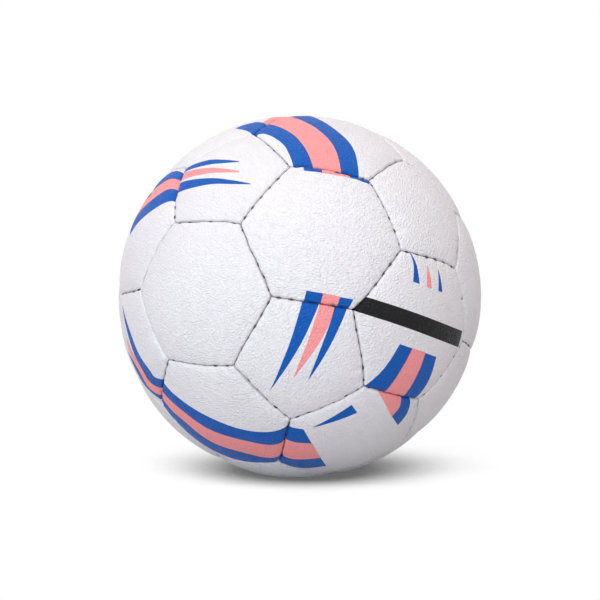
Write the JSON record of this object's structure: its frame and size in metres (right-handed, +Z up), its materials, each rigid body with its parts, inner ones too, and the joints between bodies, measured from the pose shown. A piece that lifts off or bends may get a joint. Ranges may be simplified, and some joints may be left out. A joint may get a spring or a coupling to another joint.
{
  "type": "handball",
  "caption": "Hand-stitched ball of pentagon and hexagon panels in lined synthetic leather round an inflated rubber bladder with a needle valve.",
  "frame": {"origin": "the ball's centre", "axes": "+Z up as the ball lies in the picture, -Y towards the viewer, +X to the viewer's right"},
  "size_m": [0.1872, 0.1864, 0.187],
  "materials": {
    "cover": "fine-grained white synthetic leather with printed stripes, satin",
    "lining": "woven polyester and cotton plies, raw",
    "thread": "waxed dark grey thread",
    "bladder": "matt black latex",
    "valve": "moulded black rubber"
  },
  "bodies": {
    "root": {"pentagon_panel_01": "cover", "pentagon_panel_02": "cover", "pentagon_panel_03": "cover", "pentagon_panel_04": "cover", "pentagon_panel_05": "cover", "pentagon_panel_06": "cover", "pentagon_panel_07": "cover", "pentagon_panel_08": "cover", "pentagon_panel_09": "cover", "pentagon_panel_10": "cover", "pentagon_panel_11": "cover", "pentagon_panel_12": "cover", "hexagon_panel_01": "cover", "hexagon_panel_02": "cover", "hexagon_panel_03": "cover", "hexagon_panel_04": "cover", "hexagon_panel_05": "cover", "hexagon_panel_06": "cover", "hexagon_panel_07": "cover", "hexagon_panel_08": "cover", "hexagon_panel_09": "cover", "hexagon_panel_10": "cover", "hexagon_panel_11": "cover", "hexagon_panel_12": "cover", "hexagon_panel_13": "cover", "hexagon_panel_14": "cover", "hexagon_panel_15": "cover", "hexagon_panel_16": "cover", "hexagon_panel_17": "cover", "hexagon_panel_18": "cover", "hexagon_panel_19": "cover", "valve_panel": "cover", "pentagon_linings": "lining", "hexagon_linings": "lining", "valve_lining": "lining", "seam_thread": "thread", "bladder": "bladder", "valve_boot": "valve", "valve_core": "valve"}
  },
  "joints": []
}
